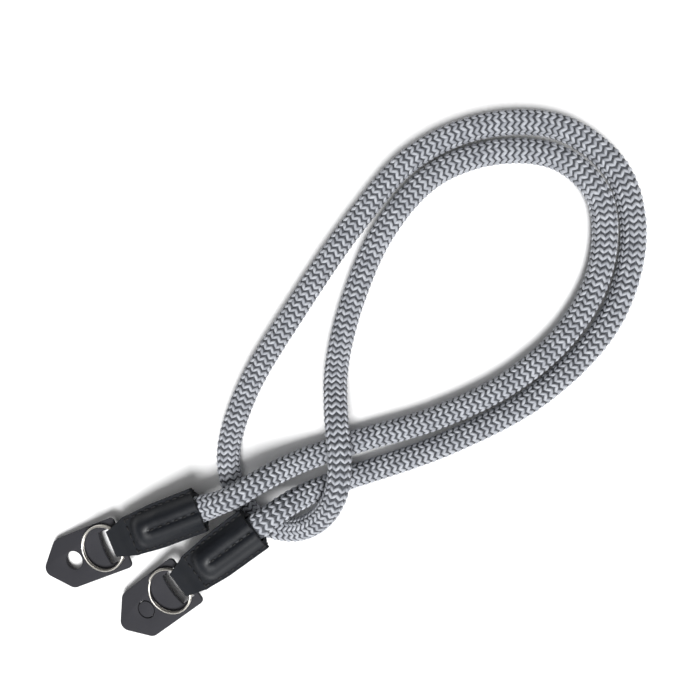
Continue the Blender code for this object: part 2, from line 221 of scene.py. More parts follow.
def ropeRoute():
    # through the upper pocket, along the route and into the lower pocket, never under the floor
    pocket = [stack["ropeEnd"] + (stack["length"] - stack["ropeEnd"]) * share for share in (0, 0.5, 1)]
    places = [Vector((x, 0.0, stack["middle"])) for x in pocket]
    knots = [ends["a"]["matrix"] @ place for place in places]
    knots += [Vector(place) for place in route]
    knots += [ends["b"]["matrix"] @ place for place in reversed(places)]
    curve = smoothCurve(knots)
    for place in curve:
        place.z = max(place.z, rope["diameter"] / 2)
    return evenlySpaced(curve, rope["corePoints"])


ropePoints, ropeLength = ropeRoute()
print("rope route", round(ropeLength, 4), "m")


def yarnMaterial(name, colour, paler, roughness):
    # textured polyester yarn, dyed in the filament and plaited: soft light scatter along each
    # yarn and a fine streak where bundles of filaments part, about five across a yarn's 1.4 mm;
    # single filaments of 0.02 mm are too fine to show
    material, tree, shader = newMaterial(name, colour, roughness)
    shader.inputs["Sheen Weight"].default_value = 0.06
    shader.inputs["Sheen Roughness"].default_value = 0.5
    tone = addNode(tree, "ShaderNodeAttribute", attribute_name="yarnTone")
    uv = addNode(tree, "ShaderNodeUVMap", uv_map="UVMap")
    streak = addNode(tree, "ShaderNodeTexWave", {"Scale": 1.6, "Distortion": 1.2, "Detail": 2.0},
                     {"Vector": uv.outputs["UV"]}, bands_direction="Y")
    both = addNode(tree, "ShaderNodeMath", {2: 0.25}, {0: streak.outputs["Fac"], 1: tone.outputs["Fac"]},
                   operation="MULTIPLY_ADD")
    blend = addNode(tree, "ShaderNodeMix", {"A": hexColour(colour), "B": hexColour(paler)},
                    {"Factor": both.outputs[0]}, data_type="RGBA")
    bump = addNode(tree, "ShaderNodeBump", {"Strength": 0.35, "Distance": 0.06 * mm},
                   {"Height": streak.outputs["Fac"]})
    tree.links.new(blend.outputs["Result"], shader.inputs["Base Color"])
    tree.links.new(bump.outputs["Normal"], shader.inputs["Normal"])
    return material


lightYarn = yarnMaterial("light grey polyester yarn", "7f828a", "bec1c7", 0.62)
# the charcoal is partly the yarn's own dye and partly painted shade for the gaps between the light floats
darkYarnWithPaintedShade = yarnMaterial("charcoal polyester yarn with painted gap shade", "2c2e33", "4b4d52", 0.66)
# what shows between the floats is painted a darker grey for the shade they cast, dull and plain
coreYarnPaintedShade = newMaterial("grey yarns under the floats in painted shade", "54575d", 0.9)[0]

# columns of floats round the rope, the length of a row, the floats' lean in degrees, and how they
# vary: wobble in radians either way, and the smallest and largest size
braid = {"columns": 16, "rowPitch": 2.66 * mm, "lean": 48.0, "firstRow": 26.9 * mm, "bend": 0.38 * mm,
         "wobble": 0.06, "sizes": (0.93, 1.07), "seed": 11,
         "light": {"length": 3.45 * mm, "width": 1.4 * mm, "height": 1.15 * mm, "sink": 0.48 * mm},
         "dark": {"length": 2.5 * mm, "width": 0.8 * mm, "height": 0.8 * mm, "sink": 0.62 * mm}}


def floatMesh(size):
    # one pillow of yarn: six sides, four rings and pointed ends, bent down at its ends
    rings, sides = (-0.78, -0.3, 0.3, 0.78), 6
    work = bmesh.new()
    uvLayer = work.loops.layers.uv.new("UVMap")

    def place(along, angle, swell):
        return work.verts.new((along * size["length"] / 2, swell * math.cos(angle) * size["width"] / 2,
                               swell * math.sin(angle) * size["height"] / 2 - braid["bend"] * along * along))

    first, last = place(-1.0, 0, 0), place(1.0, 0, 0)
    rows = []
    for along in rings:
        swell = (1 - abs(along) ** 2.6) ** 0.5
        rows.append([place(along, 2 * math.pi * (i + 0.5) / sides, swell) for i in range(sides)])
    for i in range(sides):
        j = (i + 1) % sides
        work.faces.new((first, rows[0][j], rows[0][i]))
        work.faces.new((last, rows[-1][i], rows[-1][j]))
        for row, following in zip(rows, rows[1:]):
            work.faces.new((row[i], row[j], following[j], following[i]))
    bmesh.ops.recalc_face_normals(work, faces=work.faces)
    for face in work.faces:
        for loop in face.loops:
            co = loop.vert.co
            loop[uvLayer].uv = (0.5 + co.x / size["length"], 0.5 + co.y / size["width"])
    mesh = bpy.data.meshes.new("yarnFloat")
    work.to_mesh(mesh)
    work.free()
    return mesh


def braidTree():
    # one row after another of floats round the route, each lying on the rope's surface
    tree = bpy.data.node_groups.new("braid floats along a rope", "GeometryNodeTree")
    face = tree.interface
    face.new_socket("Geometry", in_out="OUTPUT", socket_type="NodeSocketGeometry")
    for name, kind in (("Route", "Object"), ("Float", "Object"), ("Columns", "Int"), ("Column Shift", "Int"),
                       ("Row Pitch", "Float"), ("First Row", "Float"), ("Row Shift", "Float"),
                       ("Radius", "Float"), ("Pressed Half Width", "Float"), ("Pressed Half Height", "Float"),
                       ("Covered Length", "Float"), ("Relax Length", "Float"), ("Lean", "Float"),
                       ("Seed", "Int"), ("Material", "Material")):
        face.new_socket(name, in_out="INPUT", socket_type="NodeSocket" + kind)

    def maths(operation, *parts):
        node = addNode(tree, "ShaderNodeMath", operation=operation)
        for i, part in enumerate(parts):
            if isinstance(part, (int, float)):
                node.inputs[i].default_value = part
            else:
                tree.links.new(part, node.inputs[i])
        return node.outputs[0]

    def vectors(operation, *parts):
        node = addNode(tree, "ShaderNodeVectorMath", operation=operation)
        for i, part in enumerate(parts):
            tree.links.new(part, node.inputs["Scale"] if operation == "SCALE" and i == 1 else node.inputs[i])
        return node.outputs["Vector"]

    given = addNode(tree, "NodeGroupInput").outputs
    line = addNode(tree, "GeometryNodeObjectInfo", links={"Object": given["Route"]}).outputs["Geometry"]
    total = addNode(tree, "GeometryNodeCurveLength", links={"Curve": line}).outputs["Length"]
    perRow = maths("DIVIDE", given["Columns"], 2.0)
    usable = maths("SUBTRACT", total, maths("MULTIPLY", given["First Row"], 2.0))
    rows = maths("FLOOR", maths("DIVIDE", usable, given["Row Pitch"]))
    points = addNode(tree, "GeometryNodePoints", links={"Count": maths("MULTIPLY", rows, perRow)})
    index = addNode(tree, "GeometryNodeInputIndex").outputs["Index"]
    row = maths("FLOOR", maths("DIVIDE", maths("ADD", index, 0.5), perRow))
    column = maths("SUBTRACT", index, maths("MULTIPLY", row, perRow))
    around = maths("DIVIDE", maths("ADD", maths("MULTIPLY", column, 2.0), given["Column Shift"]),
                   given["Columns"])
    angle = maths("MULTIPLY", around, 2 * math.pi)
    along = maths("ADD", maths("ADD", given["First Row"], given["Row Shift"]),
                  maths("MULTIPLY", row, given["Row Pitch"]))
    sample = addNode(tree, "GeometryNodeSampleCurve", links={"Curves": line, "Length": along}, mode="LENGTH")
    centre, tangent, normal = (sample.outputs[key] for key in ("Position", "Tangent", "Normal"))
    side = vectors("CROSS_PRODUCT", tangent, normal)
    # the leather presses the rope flat near its ends; the line's own normal lies level
    fromEnd = maths("MINIMUM", along, maths("SUBTRACT", total, along))
    relaxed = maths("ADD", given["Covered Length"], given["Relax Length"])
    pressed = addNode(tree, "ShaderNodeMapRange", {"To Min": 1.0, "To Max": 0.0},
                      {"Value": fromEnd, "From Min": given["Covered Length"], "From Max": relaxed},
                      interpolation_type="SMOOTHSTEP").outputs["Result"]
    halves = []
    for key in ("Pressed Half Width", "Pressed Half Height"):
        change = maths("MULTIPLY", maths("SUBTRACT", given[key], given["Radius"]), pressed)
        halves.append(maths("ADD", given["Radius"], change))
    up, out = maths("COSINE", angle), maths("SINE", angle)
    offset = vectors("ADD", vectors("SCALE", normal, maths("MULTIPLY", up, halves[0])),
                     vectors("SCALE", side, maths("MULTIPLY", out, halves[1])))
    outward = vectors("NORMALIZE", vectors("ADD", vectors("SCALE", normal, maths("DIVIDE", up, halves[0])),
                                           vectors("SCALE", side, maths("DIVIDE", out, halves[1]))))
    rim = vectors("CROSS_PRODUCT", tangent, outward)
    wobble = addNode(tree, "FunctionNodeRandomValue", {2: -braid["wobble"], 3: braid["wobble"]},
                     {"Seed": given["Seed"], "ID": index})
    lean = maths("ADD", given["Lean"], wobble.outputs[1])
    lay = vectors("ADD", vectors("SCALE", rim, maths("COSINE", lean)),
                  vectors("SCALE", tangent, maths("SINE", lean)))
    turned = addNode(tree, "FunctionNodeAxesToRotation", primary_axis="Z", secondary_axis="X",
                     links={"Primary Axis": outward, "Secondary Axis": lay})
    placed = addNode(tree, "GeometryNodeSetPosition",
                     links={"Geometry": points.outputs[0], "Position": vectors("ADD", centre, offset)})
    tone = addNode(tree, "FunctionNodeRandomValue", {2: 0.0, 3: 1.0},
                   {"Seed": maths("ADD", given["Seed"], 7.0), "ID": index})
    toned = addNode(tree, "GeometryNodeStoreNamedAttribute", {"Name": "yarnTone"},
                    {"Geometry": placed.outputs[0], "Value": tone.outputs[1]},
                    data_type="FLOAT", domain="POINT")
    size = addNode(tree, "FunctionNodeRandomValue", {2: braid["sizes"][0], 3: braid["sizes"][1]},
                   {"Seed": maths("ADD", given["Seed"], 3.0), "ID": index})
    shape = addNode(tree, "GeometryNodeObjectInfo", links={"Object": given["Float"]})
    copies = addNode(tree, "GeometryNodeInstanceOnPoints",
                     links={"Points": toned.outputs[0], "Instance": shape.outputs["Geometry"],
                            "Rotation": turned.outputs[0], "Scale": size.outputs[1]})
    real = addNode(tree, "GeometryNodeRealizeInstances", links={"Geometry": copies.outputs[0]})
    smooth = addNode(tree, "GeometryNodeSetShadeSmooth", links={"Geometry": real.outputs[0]})
    dressed = addNode(tree, "GeometryNodeSetMaterial",
                      links={"Geometry": smooth.outputs[0], "Material": given["Material"]})
    addNode(tree, "NodeGroupOutput", links={"Geometry": dressed.outputs[0]})
    return tree


def makeCore():
    # grey tube under the yarns, its grey painted shade, pressed flat where the leather holds it
    radius, sides = rope["coreDiameter"] / 2, 16
    thin = rope["diameter"] / 2 - radius
    rings, walked = [], 0.0
    for i, place in enumerate(ropePoints):
        if i:
            walked += (place - ropePoints[i - 1]).length
        before, after = ropePoints[max(i - 1, 0)], ropePoints[min(i + 1, len(ropePoints) - 1)]
        tangent = (after - before).normalized()
        normal = (Vector((0, 0, 1)) - tangent * tangent.z).normalized()
        side = tangent.cross(normal)
        fromEnd = min(walked, ropeLength - walked) - (stack["length"] - stack["ropeEnd"])
        pressed = 1 - smoothStep(fromEnd / rope["relax"])
        tall = radius + (rope["pressedHeight"] / 2 - thin - radius) * pressed
        wide = radius + (rope["pressedWidth"] / 2 - thin - radius) * pressed
        rings.append([place + normal * tall * math.cos(a) + side * wide * math.sin(a)
                      for a in (2 * math.pi * k / sides for k in range(sides))])
    mesh = loftMesh("ropeCore", rings)
    mesh.shade_smooth()
    return addPiece("ropeCore", mesh, [coreYarnPaintedShade])


def makeBraid():
    # floats that lean left and right take turns round the rope; dark rows lie between light ones
    line = linesObject("ropeLine", [ropePoints])
    shapes = {tone: addPiece("yarnFloat", floatMesh(braid[tone])) for tone in ("light", "dark")}
    tree = braidTree()
    pieces = []
    lean = math.radians(braid["lean"])
    for shift, sign in ((0, 1), (1, -1)):
        for rowShift, material, tone in ((0.0, lightYarn, "light"), (0.5, darkYarnWithPaintedShade, "dark")):
            name, sink = "braid" + tone.capitalize() + ("Left" if shift else "Right"), braid[tone]["sink"]
            base = addPiece(name + "Base", bpy.data.meshes.new(name + "Base"))
            setModifierInputs(base, tree, {
                "Route": line, "Float": shapes[tone], "Columns": braid["columns"], "Column Shift": shift,
                "Row Pitch": braid["rowPitch"], "First Row": braid["firstRow"],
                "Row Shift": rowShift * braid["rowPitch"], "Radius": rope["diameter"] / 2 - sink,
                "Pressed Half Width": rope["pressedWidth"] / 2 - sink,
                "Pressed Half Height": rope["pressedHeight"] / 2 - sink,
                "Covered Length": stack["length"] - stack["ropeEnd"], "Relax Length": rope["relax"],
                "Lean": lean * sign, "Seed": braid["seed"] + shift, "Material": material})
            pieces.append(addPiece(name, bakedMesh(base, name)))
            bpy.data.objects.remove(base, do_unlink=True)
    for helper in (line, *shapes.values()):
        bpy.data.objects.remove(helper, do_unlink=True)
    return pieces


core = makeCore()
yarns = makeBraid()
print("braid", sum(len(piece.data.polygons) for piece in yarns), "faces")
for piece in [core, *yarns]:
    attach(piece, "root")
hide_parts("neck_rope")


def leatherMaterial(name, colour, paler, grain, flat, rubbed, specular=0.5):
    # dyed leather: a fine pebble grain, wide creases, and an uneven roughness that goes from the
    # flat parts' value to the rubbed parts'
    material, tree, shader = newMaterial(name, colour, flat)
    shader.inputs["Specular IOR Level"].default_value = specular
    wear = addNode(tree, "ShaderNodeAttribute", attribute_name="rubbed")
    place = addNode(tree, "ShaderNodeTexCoord").outputs["Object"]
    pebble = addNode(tree, "ShaderNodeTexVoronoi", {"Scale": 1 / grain}, {"Vector": place},
                     feature="SMOOTH_F1")
    creases = 6.25 * mm
    cloud = addNode(tree, "ShaderNodeTexNoise", {"Scale": 1 / creases, "Detail": 5.0, "Roughness": 0.6},
                    {"Vector": place})
    blend = addNode(tree, "ShaderNodeMix", {"A": hexColour(colour), "B": hexColour(paler)},
                    {"Factor": cloud.outputs["Fac"]}, data_type="RGBA")
    worn = addNode(tree, "ShaderNodeMapRange", {"To Min": flat, "To Max": rubbed},
                   {"Value": wear.outputs["Fac"]})
    uneven = addNode(tree, "ShaderNodeMapRange", {"To Min": -0.08, "To Max": 0.12},
                     {"Value": cloud.outputs["Fac"]})
    gloss = addNode(tree, "ShaderNodeMath", {}, {0: worn.outputs["Result"], 1: uneven.outputs["Result"]},
                    operation="ADD")
    bump = addNode(tree, "ShaderNodeBump", {"Strength": 0.5, "Distance": 0.05 * mm},
                   {"Height": pebble.outputs["Distance"]})
    softer = addNode(tree, "ShaderNodeBump", {"Strength": 0.5, "Distance": 0.25 * mm},
                     {"Height": cloud.outputs["Fac"], "Normal": bump.outputs["Normal"]})
    tree.links.new(blend.outputs["Result"], shader.inputs["Base Color"])
    tree.links.new(gloss.outputs["Value"], shader.inputs["Roughness"])
    tree.links.new(softer.outputs["Normal"], shader.inputs["Normal"])
    return material


# full-grain leather, drum dyed and waxed: a soft, broken sheen on the raised parts
blackLeather = leatherMaterial("black full-grain leather", "0b0e13", "12161d", 0.55 * mm, 0.88, 0.5, 0.46)
# split leather, dyed through and left unwaxed: dull, even and a little paler
tabLeather = leatherMaterial("charcoal split leather, matt", "222227", "2a2a30", 0.35 * mm, 0.78, 0.78)
# its fibres stand open where the knife went through, so the edge is paler, and it is painted paler still as a
# highlight where the edge catches the light
cutEdgeWithPaintedHighlight = leatherMaterial("cut edge of charcoal leather with painted highlight", "424248", "55555b", 0.25 * mm, 0.85, 0.85)

# the folded strip: widths, places along it from the tab's tip, rise over the rope, and how far the
# centre seam, each stitch and the soft wear pull its surface
sleeve = {"foldWidth": 11.4 * mm, "seamWidth": 17.6 * mm, "width": 19.2 * mm, "seam": 47.9 * mm,
          "noseStart": 48.9 * mm, "nose": 8.4 * mm, "slope": 5.0 * mm, "bulge": 8.3 * mm,
          "crown": 6.4 * mm, "groove": 0.35 * mm, "valley": 0.75 * mm, "grooveStart": 60.5 * mm,
          "grooveWidth": 0.9 * mm, "valleyWidth": 2.6 * mm, "foldDepth": 2.3 * mm,
          "pocketHalf": (6.0 * mm, 4.6 * mm), "ply": 0.22 * mm, "mouthHump": 2.4 * mm,
          "mouthWidth": 6.8 * mm, "mouthRun": 6.0 * mm, "wearPerMetre": 190.0, "wearSide": 0.10 * mm,
          "wearTop": 0.08 * mm}
stitching = {"pitch": 3.5 * mm, "length": 2.5 * mm, "thick": 0.8 * mm, "fromEdge": 1.5 * mm,
             "edgeStart": 49.9 * mm, "edgeLength": 32.2 * mm, "lift": 0.12 * mm, "centreStart": 61.7 * mm,
             "centreLength": 20.5 * mm, "neck": 48.5 * mm, "neckHalf": 7.0 * mm,
             "dimple": 0.16 * mm, "dimpleWidth": 0.55 * mm}


def sleeveHalfWidth(x, lay):
    # narrow at the fold, wider to the cross seam, then softly to the pocket's full width
    if x < sleeve["seam"]:
        share = (x - lay["reach"]) / (sleeve["seam"] - lay["reach"])
        return (sleeve["foldWidth"] + (sleeve["seamWidth"] - sleeve["foldWidth"]) * share ** 1.5) / 2
    share = smoothStep((x - sleeve["seam"]) / (15 * mm))
    return (sleeve["seamWidth"] + (sleeve["width"] - sleeve["seamWidth"]) * share) / 2


def slabHalf(x, lay):
    # half height of the flat parts: the loop, its rounded fold, and the stitched flanges
    leather, tall = stack["leather"], stack["height"] / 2
    folded = min((x - lay["reach"]) / sleeve["foldDepth"], 1.0)
    folded = math.sqrt(max(1 - (1 - folded) ** 2, 0.0))
    closing = smoothStep((sleeve["seam"] - x) / sleeve["slope"])
    return max((leather + (tall - leather) * closing) * folded, 0.25 * mm)


def sleeveDome(x, y):
    # share of the pocket's full rise: none on the flat parts, 1 over the rope
    across = abs(y) / sleeve["bulge"]
    before = max(1 - (x - sleeve["noseStart"]) / sleeve["nose"], 0.0)
    return max(1 - across ** 2.8 - before * before, 0.0) ** 1.3


def sleeveTop(x, y, lay):
    # height of the leather's upper face over its middle plane
    flat = slabHalf(x, lay)
    top = flat + (sleeve["crown"] - flat) * sleeveDome(x, y)
    grooved = smoothStep((x - sleeve["grooveStart"] + 3 * mm) / (4 * mm))
    top -= grooved * sleeve["groove"] * math.exp(-(y / sleeve["grooveWidth"]) ** 2)
    top -= grooved * sleeve["valley"] * math.exp(-(y / sleeve["valleyWidth"]) ** 2)

    def dimple(along, off):
        # each stitch presses its own dimple, deepest where the thread goes down
        pulled = 1 + 0.6 * math.cos(2 * math.pi * (along / stitching["pitch"] - 0.5))
        return stitching["dimple"] * pulled * math.exp(-(off / stitching["dimpleWidth"]) ** 2)

    for start, offset in ((stitching["centreStart"], abs(y)),
                          (stitching["edgeStart"],
                           abs(y) - sleeveHalfWidth(x, lay) + stitching["fromEdge"])):
        if x > start - stitching["pitch"] / 2:
            top -= dimple(x - start, offset)
    if abs(y) < stitching["neckHalf"] + 0.2 * mm:
        top -= dimple(y, x - stitching["neck"])
    return top


def sleeveSection(x, lay):
    # the outline across the end at one place: rounded edges with the groove between both layers,
    # and at the mouth the upper half stands a little further out
    wide = sleeveHalfWidth(x, lay)
    flat = slabHalf(x, lay)
    count, corner = 56, min(sleeve["ply"], flat / 2)
    upper = [(wide - corner - 2 * (wide - corner) * k / count) for k in range(count + 1)]
    layered = sleeve["ply"] if x > sleeve["seam"] - 1 * mm else 0.0
    side = [(wide, flat - corner), (wide, 0.12 * mm), (wide - layered, 0.0), (wide, -0.12 * mm),
            (wide, corner - flat)]
    ring = [(y, sleeveTop(x, y, lay)) for y in upper]
    ring += [(-y, z) for y, z in side]
    ring += [(-y, -sleeveTop(x, -y, lay)) for y in upper]
    ring += [(y, z) for y, z in reversed(side)]
    ending = smoothStep((x - stack["length"] + sleeve["mouthRun"]) / sleeve["mouthRun"])
    placed = []
    for y, z in ring:
        hump = math.exp(-(y / sleeve["mouthWidth"]) ** 4) * smoothStep(z / (3 * mm))
        worn = noise.noise(Vector((x, y, z)) * sleeve["wearPerMetre"] + Vector((lay["yaw"], 0, 0)))
        placed.append((x + ending * sleeve["mouthHump"] * hump, y + sleeve["wearSide"] * worn,
                       stack["middle"] + z + sleeve["wearTop"] * worn * math.copysign(1, z)))
    return placed


def pocketSections(rim):
    # the pocket's wall: the rim's points drawn in to an ellipse, then back into the leather
    halfWide, halfTall = sleeve["pocketHalf"]
    sections = []
    for depth in (0.0, 3.0 * mm, 12.0 * mm):
        ring = []
        for x, y, z in rim:
            a = math.atan2((z - stack["middle"]) * halfWide / halfTall, y)
            ring.append((x - depth, halfWide * math.cos(a), stack["middle"] + halfTall * math.sin(a)))
        sections.append(ring)
    return sections


def cutAway(piece, cutter):
    modifier = piece.modifiers.new("cut", "BOOLEAN")
    modifier.operation = "DIFFERENCE"
    modifier.solver = "EXACT"
    modifier.object = cutter


def makeLeatherEnd(name, lay):
    # sections stand close together where the leather rises to the rope
    reach, seam, length = lay["reach"], sleeve["seam"], stack["length"]
    stations = [reach + sleeve["foldDepth"] * (1 - math.cos(math.pi / 2 * k / 9)) for k in range(10)]
    while stations[-1] < seam - 4 * mm:
        stations.append(stations[-1] + 1 * mm)
    while stations[-1] < seam + 12 * mm:
        stations.append(stations[-1] + 0.35 * mm)
    count = 52
    stations += [stations[-1] + (length - stations[-1]) * (k + 1) / count for k in range(count)]
    sections = [sleeveSection(x, lay) for x in stations]
    body = addPiece("leatherEnd" + name, loftMesh("leatherEnd", sections + pocketSections(sections[-1])))
    # the space that holds the ring and the tab's strip
    inner = stack["height"] / 2 - stack["leather"]
    start, stop = reach + stack["leather"], seam - 0.9 * mm
    profile = []
    for k in range(9):
        turned = math.pi / 2 * k / 8
        profile.append((start + 0.5 * mm * (1 - math.cos(turned)), inner * math.sin(turned) + 0.01 * mm))
    for k in range(1, 9):
        x = profile[8][0] + (stop - profile[8][0]) * k / 8
        profile.append((x, max(slabHalf(x, lay) - stack["leather"], 0.1 * mm)))
    outline = profile + [(x, -z) for x, z in reversed(profile)]
    tunnel = addPiece("tunnel", loftMesh("tunnel", [[(x, y, stack["middle"] + z) for x, z in outline]
                                                    for y in (-12 * mm, 12 * mm)]))
    cutAway(body, tunnel)
    mesh = bakedMesh(body, "leatherEnd" + name)
    for helper in (body, tunnel):
        bpy.data.objects.remove(helper, do_unlink=True)
    # the raised parts are rubbed smooth in use, the flat ones stay matt
    rubbed = mesh.attributes.new("rubbed", "FLOAT", "POINT")
    for vertex in mesh.vertices:
        rubbed.data[vertex.index].value = smoothStep(1.6 * sleeveDome(vertex.co.x, vertex.co.y))
    mesh.transform(lay["matrix"])
    mesh.shade_smooth()
    mesh.set_sharp_from_angle(angle=math.radians(42))
    return addPiece("leatherEnd" + name, mesh, [blackLeather])


# bonded nylon thread, black, sewn by machine: a faint gloss on each stitch
thread = newMaterial("black bonded nylon thread", "0b0b0d", 0.7)[0]


def stitchTree():
    # an egg-shaped stitch at every pitch along the lines, each a little skew
    tree = bpy.data.node_groups.new("stitches along lines", "GeometryNodeTree")
    face = tree.interface
    face.new_socket("Geometry", in_out="OUTPUT", socket_type="NodeSocketGeometry")
    for name, kind in (("Lines", "Object"), ("Pitch", "Float"), ("Length", "Float"), ("Thickness", "Float"),
                       ("Seed", "Int"), ("Material", "Material")):
        face.new_socket(name, in_out="INPUT", socket_type="NodeSocket" + kind)
    given = addNode(tree, "NodeGroupInput").outputs
    lines = addNode(tree, "GeometryNodeObjectInfo", links={"Object": given["Lines"]})
    points = addNode(tree, "GeometryNodeCurveToPoints", mode="LENGTH",
                     links={"Curve": lines.outputs["Geometry"], "Length": given["Pitch"]})
    ball = addNode(tree, "GeometryNodeMeshUVSphere", {"Segments": 8, "Rings": 7, "Radius": 0.5})
    size = addNode(tree, "ShaderNodeCombineXYZ", links={"X": given["Length"], "Y": given["Thickness"],
                                                        "Z": given["Thickness"]})
    stitch = addNode(tree, "GeometryNodeTransform", links={"Geometry": ball.outputs["Mesh"],
                                                           "Scale": size.outputs[0]})
    skew = addNode(tree, "FunctionNodeRandomValue", {0: (-0.12, -0.12, -0.06), 1: (0.12, 0.12, 0.06)},
                   {"Seed": given["Seed"]}, data_type="FLOAT_VECTOR")
    along = addNode(tree, "ShaderNodeVectorMath", {}, {0: points.outputs["Tangent"], 1: skew.outputs[0]},
                    operation="ADD")
    turned = addNode(tree, "FunctionNodeAxesToRotation", primary_axis="X", secondary_axis="Z",
                     links={"Primary Axis": along.outputs[0], "Secondary Axis": points.outputs["Normal"]})
    copies = addNode(tree, "GeometryNodeInstanceOnPoints",
                     links={"Points": points.outputs["Points"], "Instance": stitch.outputs[0],
                            "Rotation": turned.outputs[0]})
    real = addNode(tree, "GeometryNodeRealizeInstances", links={"Geometry": copies.outputs[0]})
    smooth = addNode(tree, "GeometryNodeSetShadeSmooth", links={"Geometry": real.outputs[0]})
    dressed = addNode(tree, "GeometryNodeSetMaterial", links={"Geometry": smooth.outputs[0],
                                                              "Material": given["Material"]})
    addNode(tree, "NodeGroupOutput", links={"Geometry": dressed.outputs[0]})
    return tree


def stitchLines(lay):
    # two edge seams, the cross seam and the centre seam, on the upper and on the lower face
    lines = []
    for face in (1, -1):
        def onLeather(x, y):
            lifted = sleeveTop(x, y, lay) + stitching["lift"]
            return lay["matrix"] @ Vector((x, y, stack["middle"] + face * lifted))
        edge = [stitching["edgeStart"] + stitching["edgeLength"] * k / 46 for k in range(47)]
        for side in (1, -1):
            inset = [side * (sleeveHalfWidth(x, lay) - stitching["fromEdge"]) for x in edge]
            lines.append([onLeather(x, y) for x, y in zip(edge, inset)])
        lines.append([onLeather(stitching["neck"], stitching["neckHalf"] * (k / 8 - 1)) for k in range(17)])
        centre = [stitching["centreStart"] + stitching["centreLength"] * k / 28 for k in range(29)]
        lines.append([onLeather(x, 0.0) for x in centre])
    return lines


def makeStitches(name, lay, tree):
    lines = linesObject("stitchLines" + name, stitchLines(lay))
    base = addPiece("stitchBase", bpy.data.meshes.new("stitchBase"))
    setModifierInputs(base, tree, {"Lines": lines, "Pitch": stitching["pitch"], "Length": stitching["length"],
                                   "Thickness": stitching["thick"], "Seed": 5, "Material": thread})
    piece = addPiece("stitches" + name, bakedMesh(base, "stitches" + name))
    for helper in (base, lines):
        bpy.data.objects.remove(helper, do_unlink=True)
    return piece


# the tab's outline from its tip, its hole, and the crescent slot with the strip behind it
tab = {"length": 42.0 * mm, "width": 23.2 * mm, "point": 11.5 * mm, "tipRadius": 4.0 * mm,
       "shoulderRadius": 4.5 * mm, "cornerRadius": 2.0 * mm, "holeX": 15.8 * mm, "hole": 8.3 * mm,
       "strip": 2.1 * mm, "slotHalf": 7.4 * mm, "slotDepth": 8.2 * mm, "slotEnd": 7.2 * mm,
       "bevel": 0.2 * mm, "discCut": 0.42 * mm}


def arcPoints(centre, radius, start, end, steps):
    turned = [math.radians(start + (end - start) * i / steps) for i in range(steps + 1)]
    return [(centre[0] + radius * math.cos(a), centre[1] + radius * math.sin(a)) for a in turned]


def roundedOutline(corners, steps=12):
    # polygon with an arc of its own radius at each corner
    outline = []
    for i, (x, y, radius) in enumerate(corners):
        here = Vector((x, y))
        before = (Vector(corners[i - 1][:2]) - here).normalized()
        after = (Vector(corners[(i + 1) % len(corners)][:2]) - here).normalized()
        half = before.angle(after) / 2
        centre = here + (before + after).normalized() * radius / math.sin(half)
        first = here + before * radius / math.tan(half) - centre
        turned = first.angle_signed(here + after * radius / math.tan(half) - centre)
        for k in range(steps + 1):
            part = first.copy()
            part.rotate(Matrix.Rotation(-turned * k / steps, 2))
            outline.append(tuple(centre + part))
    return outline


def tabOutlines(lay):
    half = tab["width"] / 2
    outline = roundedOutline((
        (0.0, 0.0, tab["tipRadius"]), (tab["point"], -half, tab["shoulderRadius"]),
        (tab["length"], -half, tab["cornerRadius"]), (tab["length"], half, tab["cornerRadius"]),
        (tab["point"], half, tab["shoulderRadius"])))
    blunt = min(x for x, y in outline)
    outline = [(x - blunt * (1 - x / tab["length"]), y) for x, y in outline]
    straight = tab["length"] - tab["strip"]
    bow = tab["slotDepth"] - tab["slotEnd"]
    radius = (tab["slotHalf"] ** 2 + bow ** 2) / (2 * bow)
    reach = math.degrees(math.asin(tab["slotHalf"] / radius))
    centre = (straight - tab["slotDepth"] + radius, 0.0)
    slot = [(straight, tab["slotHalf"])] + arcPoints(centre, radius, 180 - reach, 180 + reach, 24)
    slot.append((straight, -tab["slotHalf"]))
    outlines = [outline, slot]
    holeCentre, holeRadius = (tab["holeX"], 0.0), tab["hole"] / 2
    outlines.append(arcPoints(holeCentre, holeRadius, 0, 360, 64)[:-1])
    if not lay["openHole"]:
        # the punched disc is still in place, with the cut open round it
        outlines.append(arcPoints(holeCentre, holeRadius - tab["discCut"], 0, 360, 64)[:-1])
    return outlines


def makeTab(name, lay):
    # flat leather with softened edges; the sides get the cut edge's material, paler with a painted highlight
    data = bpy.data.curves.new("tabOutline", "CURVE")
    data.dimensions = "2D"
    data.fill_mode = "BOTH"
    data.extrude = stack["tab"] / 2 - tab["bevel"]
    data.bevel_depth = tab["bevel"]
    data.bevel_resolution = 2
    data.offset = -tab["bevel"]
    for outline in tabOutlines(lay):
        spline = data.splines.new("POLY")
        spline.points.add(len(outline) - 1)
        for point, (x, y) in zip(spline.points, outline):
            point.co = (x, y, 0.0, 1.0)
        spline.use_cyclic_u = True
    flat = bpy.data.objects.new("tabOutline", data)
    bpy.context.scene.collection.objects.link(flat)
    mesh = bakedMesh(flat, "protectorTab" + name)
    bpy.data.objects.remove(flat, do_unlink=True)
    work = bmesh.new()
    work.from_mesh(mesh)
    bmesh.ops.remove_doubles(work, verts=work.verts, dist=0.002 * mm)
    bmesh.ops.recalc_face_normals(work, faces=work.faces)
    for face in work.faces:
        face.material_index = 1 if abs(face.normal.z) < 0.9 else 0
    work.to_mesh(mesh)
    work.free()
    lifted = stack["tabUnder"] + stack["tab"] / 2
    mesh.transform(lay["matrix"] @ Matrix.Translation((0, lay["tabSide"], lifted)))
    mesh.materials.clear()
    mesh.shade_smooth()
    mesh.set_sharp_from_angle(angle=math.radians(35))
    return addPiece("protectorTab" + name, mesh, [tabLeather, cutEdgeWithPaintedHighlight])


